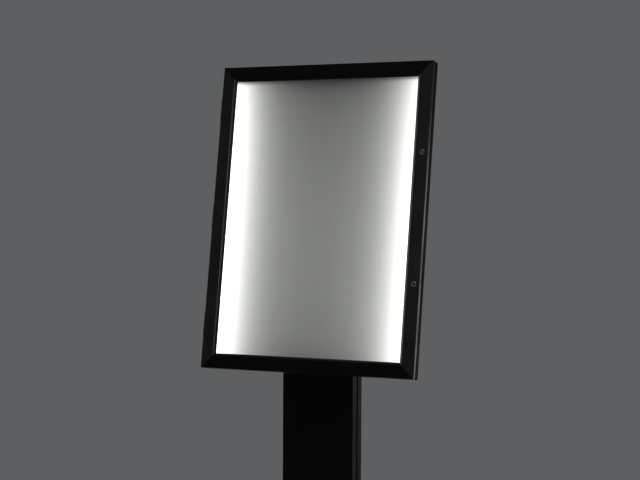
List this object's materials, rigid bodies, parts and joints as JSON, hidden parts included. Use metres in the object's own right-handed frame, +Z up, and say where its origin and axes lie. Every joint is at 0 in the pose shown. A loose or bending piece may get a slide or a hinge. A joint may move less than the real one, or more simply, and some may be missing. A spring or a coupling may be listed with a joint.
{
  "type": "illuminated poster display stand",
  "caption": "Free-standing lit poster or menu case: portrait glazed door on side hinges with cam locks, tilting on a flat black post and square base.",
  "frame": {"origin": "on the floor, under the middle of the post", "axes": "+Z up, +X to the viewer's right, -Y towards the viewer who reads the sign"},
  "size_m": [0.4716, 0.38, 1.3867],
  "materials": {
    "black_powder_coat": "satin",
    "black_coated_aluminium": "satin",
    "black_anodised_aluminium": "satin",
    "raw_aluminium": "satin",
    "zinc_plated_steel": "satin",
    "plated_lock_metal": "satin",
    "black_rubber": "matte",
    "black_plastic": "matte",
    "white_liner_sheet": "satin",
    "clear_glazing": "gloss",
    "white_circuit_board": "satin",
    "lit_diodes": "gloss",
    "opal_diffuser": "satin",
    "red_black_wire": "satin"
  },
  "bodies": {
    "stand": {"base_pad": "black_rubber", "base_plate": "black_powder_coat", "base_screws": "zinc_plated_steel", "foot_blocks": "raw_aluminium", "upright_left": "black_coated_aluminium", "upright_right": "black_coated_aluminium", "post_front_panel": "black_coated_aluminium", "post_rear_panel": "black_coated_aluminium", "post_top_blocks": "raw_aluminium", "post_cap": "black_coated_aluminium", "tilt_yoke": "black_powder_coat", "yoke_screws": "zinc_plated_steel", "pivot_bolt": "zinc_plated_steel", "pivot_nut": "zinc_plated_steel", "pivot_washers": "zinc_plated_steel"},
    "head": {"head_bracket": "black_powder_coat", "bracket_screws": "zinc_plated_steel", "case_rail_bottom": "black_anodised_aluminium", "case_rail_top": "black_anodised_aluminium", "case_stile_left": "black_anodised_aluminium", "case_stile_right": "black_anodised_aluminium", "case_corner_cleats": "raw_aluminium", "white_liner": "white_liner_sheet", "back_panel": "black_coated_aluminium", "back_panel_screws": "zinc_plated_steel", "led_board_left": "white_circuit_board", "led_board_right": "white_circuit_board", "leds_left": "lit_diodes", "leds_right": "lit_diodes", "diffuser_left": "opal_diffuser", "diffuser_right": "opal_diffuser", "wire_left": "red_black_wire", "wire_right": "red_black_wire", "dc_inlet": "black_plastic", "inlet_nut": "zinc_plated_steel", "seal_strips": "black_rubber", "hinge_leaves_case": "black_powder_coat", "hinge_pins": "zinc_plated_steel", "hinge_screws_case": "zinc_plated_steel"},
    "door": {"door_rail_bottom": "black_anodised_aluminium", "door_rail_top": "black_anodised_aluminium", "door_stile_left": "black_anodised_aluminium", "door_stile_right": "black_anodised_aluminium", "door_corner_cleats": "raw_aluminium", "glazing": "clear_glazing", "glazing_beads": "black_plastic", "hinge_leaves_door": "black_powder_coat", "hinge_screws_door": "zinc_plated_steel", "lock_housing_upper": "plated_lock_metal", "lock_housing_lower": "plated_lock_metal", "lock_nuts": "plated_lock_metal"},
    "lock_upper": {"lock_plug_upper": "plated_lock_metal", "lock_cam_upper": "zinc_plated_steel", "cam_screw_upper": "zinc_plated_steel"},
    "lock_lower": {"lock_plug_lower": "plated_lock_metal", "lock_cam_lower": "zinc_plated_steel", "cam_screw_lower": "zinc_plated_steel"}
  },
  "joints": [
    {"name": "head_tilt", "type": "hinge", "parent": "stand", "child": "head", "pos_m": [0, 0, 0.99], "axis": [-1, 0, 0], "range_deg": [-9.5, 15]},
    {"name": "door_hinge", "type": "hinge", "parent": "head", "child": "door", "pos_m": [-0.2355, -0.03159, 1.07234], "axis": [0, -0.165, -0.9863], "range_deg": [0, 110]},
    {"name": "lock_upper_turn", "type": "hinge", "parent": "door", "child": "lock_upper", "pos_m": [0.222, -0.02107, 1.2034], "axis": [0, -0.9863, 0.165], "range_deg": [0, 90]},
    {"name": "lock_lower_turn", "type": "hinge", "parent": "door", "child": "lock_lower", "pos_m": [0.222, -0.06431, 0.945], "axis": [0, -0.9863, 0.165], "range_deg": [0, 90]}
  ]
}
